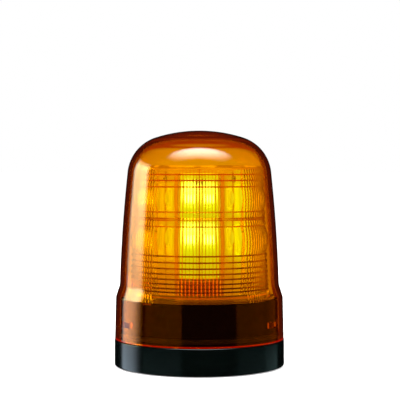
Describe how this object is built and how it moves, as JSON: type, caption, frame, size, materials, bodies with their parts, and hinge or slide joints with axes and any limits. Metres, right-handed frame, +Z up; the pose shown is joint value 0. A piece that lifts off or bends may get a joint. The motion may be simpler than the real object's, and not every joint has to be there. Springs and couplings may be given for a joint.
{
  "type": "signal beacon",
  "caption": "Round amber signal beacon: a clear prism lens over a lamp tower, under a domed globe that twists off a black base with bolt inserts, gasket and cable entry underneath.",
  "frame": {"origin": "on the axis at the mounting plane, the underside of the gasket", "axes": "+Z up along the axis to the top of the globe, -Y to the front"},
  "size_m": [0.1, 0.1, 0.1383],
  "materials": {
    "black_plastic": "moulded, glossy",
    "black_rubber": "matt",
    "brass": "turned",
    "steel": "zinc plated",
    "green_board": "solder mask",
    "white_board": "white solder mask",
    "capacitor_sleeve": "shrink sleeve",
    "choke_black": "moulded",
    "terminal_green": "moulded",
    "button_orange": "moulded",
    "white_plastic": "moulded",
    "aluminium": "extruded",
    "lamp": "lit lamp dome",
    "clear_plastic": "polished, clear",
    "amber_plastic": "polished, see-through amber"
  },
  "bodies": {
    "base": {"base_gasket": "black_rubber", "base_housing": "black_plastic", "board_screws": "steel", "bottom_plate": "black_plastic", "button_spring_1": "steel", "button_spring_2": "steel", "button_spring_3": "steel", "button_spring_4": "steel", "cable_grommet": "black_rubber", "capacitors": "capacitor_sleeve", "choke": "choke_black", "driver_board": "green_board", "driver_chips": "choke_black", "foot_screws": "steel", "globe_seal": "black_rubber", "heat_column": "aluminium", "inner_lens": "clear_plastic", "lamp_board_1": "white_board", "lamp_board_2": "white_board", "lamp_board_3": "white_board", "lamp_board_4": "white_board", "lamp_board_5": "white_board", "lamp_board_6": "white_board", "lamp_board_screws": "steel", "lamps_1": "lamp", "lamps_2": "lamp", "lamps_3": "lamp", "lamps_4": "lamp", "lamps_5": "lamp", "lamps_6": "lamp", "lens_screws": "steel", "link_board": "white_board", "link_header": "choke_black", "link_pins": "brass", "mount_inserts": "brass", "plate_screws": "steel", "terminal_block": "terminal_green", "terminal_pins": "brass", "tie_screw": "steel", "tower_cap": "white_plastic", "tower_foot": "white_plastic"},
    "globe": {"globe": "amber_plastic"},
    "button_1": {"release_button_1": "button_orange"},
    "button_2": {"release_button_2": "button_orange"},
    "button_3": {"release_button_3": "button_orange"},
    "button_4": {"release_button_4": "button_orange"}
  },
  "joints": [
    {"name": "globe_twist", "type": "hinge", "parent": "base", "child": "globe", "pos_m": [0, 0, 0.026], "axis": [0, 0, 1], "range_deg": [0, 20]},
    {"name": "button_1_press", "type": "slide", "parent": "base", "child": "button_1", "axis": [0, 0, 1], "range_m": [0, 0.0012], "stiffness_N_per_m": 400, "springref_m": -0.0015, "deforming": ["button_spring_1"]},
    {"name": "button_2_press", "type": "slide", "parent": "base", "child": "button_2", "axis": [0, 0, 1], "range_m": [0, 0.0012], "stiffness_N_per_m": 400, "springref_m": -0.0015, "deforming": ["button_spring_2"]},
    {"name": "button_3_press", "type": "slide", "parent": "base", "child": "button_3", "axis": [0, 0, 1], "range_m": [0, 0.0012], "stiffness_N_per_m": 400, "springref_m": -0.0015, "deforming": ["button_spring_3"]},
    {"name": "button_4_press", "type": "slide", "parent": "base", "child": "button_4", "axis": [0, 0, 1], "range_m": [0, 0.0012], "stiffness_N_per_m": 400, "springref_m": -0.0015, "deforming": ["button_spring_4"]}
  ]
}
